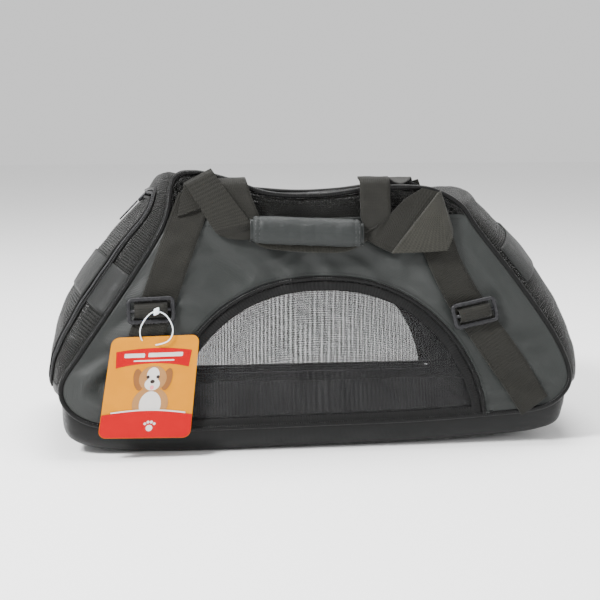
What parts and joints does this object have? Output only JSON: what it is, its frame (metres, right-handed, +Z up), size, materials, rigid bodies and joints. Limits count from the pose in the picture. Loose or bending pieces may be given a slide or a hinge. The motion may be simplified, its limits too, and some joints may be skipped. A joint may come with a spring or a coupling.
{
  "type": "pet carrier bag",
  "caption": "Soft-sided pet carrier bag with arched mesh windows, webbing handles joined by a fabric grip, a zipped end door, a zipped mesh roof and a fleece mat.",
  "frame": {"origin": "middle of the base's underside, on the floor", "axes": "+X along the length (the zipped end door is at -X), the front window faces -Y, +Z up"},
  "size_m": [0.5404, 0.2647, 0.267],
  "materials": {
    "slate_grey_woven_polyester": "slate grey woven polyester",
    "black_open_knitted_mesh": "black open knitted mesh",
    "black_ribbed_binding": "black ribbed binding",
    "black_corded_piping": "black corded piping",
    "plain_sprung_steel": "plain sprung steel",
    "grey_brown_woven_webbing": "grey-brown woven webbing",
    "smooth_gloss_black_moulding": "smooth gloss black moulding",
    "blue_grey_woven_polyester": "blue-grey woven polyester",
    "glossy_printed_card": "glossy printed card",
    "translucent_white_loop": "translucent white loop",
    "stiff_sheet": "stiff sheet",
    "brushed_fleece": "brushed fleece",
    "black_nylon_coil": "black nylon coil",
    "black_enamelled_zip_metal": "black enamelled zip metal"
  },
  "bodies": {
    "shell": {"front_panel": "slate_grey_woven_polyester", "front_top_mesh": "black_open_knitted_mesh", "front_window_mesh": "black_open_knitted_mesh", "front_window_binding": "black_ribbed_binding", "front_window_piping": "black_corded_piping", "front_edge_piping": "black_corded_piping", "front_frame_wire": "plain_sprung_steel", "back_panel": "slate_grey_woven_polyester", "back_top_mesh": "black_open_knitted_mesh", "back_window_mesh": "black_open_knitted_mesh", "back_window_binding": "black_ribbed_binding", "back_window_piping": "black_corded_piping", "back_edge_piping": "black_corded_piping", "back_frame_wire": "plain_sprung_steel", "front_left_strap": "grey_brown_woven_webbing", "front_right_strap": "grey_brown_woven_webbing", "back_right_strap": "grey_brown_woven_webbing", "back_left_strap": "grey_brown_woven_webbing", "left_roof_webbing": "grey_brown_woven_webbing", "right_roof_webbing": "grey_brown_woven_webbing", "base_panel": "slate_grey_woven_polyester", "base_board": "stiff_sheet", "left_front_border": "black_open_knitted_mesh", "left_back_border": "black_open_knitted_mesh", "left_top_border": "black_open_knitted_mesh", "door_zip": "black_nylon_coil", "right_end_mesh": "black_open_knitted_mesh", "right_end_band": "slate_grey_woven_polyester", "roof_front_border": "black_open_knitted_mesh", "roof_zip": "black_nylon_coil"},
    "handle": {"grip_wrap": "blue_grey_woven_polyester", "front_handle_webbing": "grey_brown_woven_webbing", "back_handle_webbing": "grey_brown_woven_webbing"},
    "grip_flap": {"grip_flap": "blue_grey_woven_polyester"},
    "front_left_glide": {"front_left_glide": "smooth_gloss_black_moulding"},
    "front_right_glide": {"front_right_glide": "smooth_gloss_black_moulding"},
    "back_right_glide": {"back_right_glide": "smooth_gloss_black_moulding"},
    "back_left_glide": {"back_left_glide": "smooth_gloss_black_moulding"},
    "tag_loop": {"tag_loop": "translucent_white_loop"},
    "hang_tag": {"hang_tag": "glossy_printed_card"},
    "fleece_mat": {"fleece_mat": "brushed_fleece"},
    "left_door": {"left_door": "black_open_knitted_mesh", "left_door_band": "slate_grey_woven_polyester"},
    "door_slider": {"door_slider": "black_enamelled_zip_metal"},
    "door_pull": {"door_pull": "black_enamelled_zip_metal"},
    "roof_flap": {"roof_flap": "black_open_knitted_mesh"},
    "roof_slider": {"roof_slider": "black_enamelled_zip_metal"},
    "roof_pull": {"roof_pull": "black_enamelled_zip_metal"}
  },
  "joints": [
    {"name": "handle_lift", "type": "hinge", "parent": "shell", "child": "handle", "pos_m": [-0.01, -0.09673, 0.2652], "axis": [-1, 0, 0], "range_deg": [0, 150]},
    {"name": "grip_flap_open", "type": "hinge", "parent": "handle", "child": "grip_flap", "pos_m": [-0.01, -0.11538, 0.22568], "axis": [-1, 0, 0], "range_deg": [0, 140]},
    {"name": "front_left_glide_slide", "type": "slide", "parent": "shell", "child": "front_left_glide", "axis": [0.3375, 0.1415, 0.9306], "range_m": [-0.004, 0.02]},
    {"name": "front_right_glide_slide", "type": "slide", "parent": "shell", "child": "front_right_glide", "axis": [-0.411, 0.137, 0.9013], "range_m": [-0.02, 0.02]},
    {"name": "back_right_glide_slide", "type": "slide", "parent": "shell", "child": "back_right_glide", "axis": [-0.3375, -0.1415, 0.9306], "range_m": [-0.02, 0.02]},
    {"name": "back_left_glide_slide", "type": "slide", "parent": "shell", "child": "back_left_glide", "axis": [0.411, -0.137, 0.9013], "range_m": [-0.02, 0.02]},
    {"name": "tag_loop_swing", "type": "hinge", "parent": "front_left_glide", "child": "tag_loop", "pos_m": [-0.1565, -0.11842, 0.13447], "axis": [0, -0.9886, 0.1503], "range_deg": [-5, 5]},
    {"name": "hang_tag_swing", "type": "hinge", "parent": "tag_loop", "child": "hang_tag", "pos_m": [-0.1565, -0.12283, 0.10547], "axis": [0, -0.9886, 0.1503], "range_deg": [-8, 8]},
    {"name": "fleece_mat_lift", "type": "slide", "parent": "shell", "child": "fleece_mat", "axis": [0, 0, 1], "range_m": [0, 0.06]},
    {"name": "left_door_open", "type": "hinge", "parent": "shell", "child": "left_door", "pos_m": [-0.2605, 0, 0.0345], "axis": [0, -1, 0], "range_deg": [0, 105]},
    {"name": "door_slider_slide", "type": "slide", "parent": "left_door", "child": "door_slider", "axis": [0, 1, 0], "range_m": [-0.025, 0.05]},
    {"name": "door_pull_lift", "type": "hinge", "parent": "door_slider", "child": "door_pull", "pos_m": [-0.17784, -0.01831, 0.23633], "axis": [0, 1, 0], "range_deg": [0, 45]},
    {"name": "roof_flap_open", "type": "hinge", "parent": "shell", "child": "roof_flap", "pos_m": [0, 0.0844, 0.2535], "axis": [1, 0, 0], "range_deg": [0, 80]},
    {"name": "roof_slider_slide", "type": "slide", "parent": "shell", "child": "roof_slider", "axis": [1, 0, 0], "range_m": [-0.034, 0.022]},
    {"name": "roof_pull_lift", "type": "hinge", "parent": "roof_slider", "child": "roof_pull", "pos_m": [-0.00227, -0.07812, 0.25708], "axis": [0, -1, 0], "range_deg": [0, 45]}
  ]
}
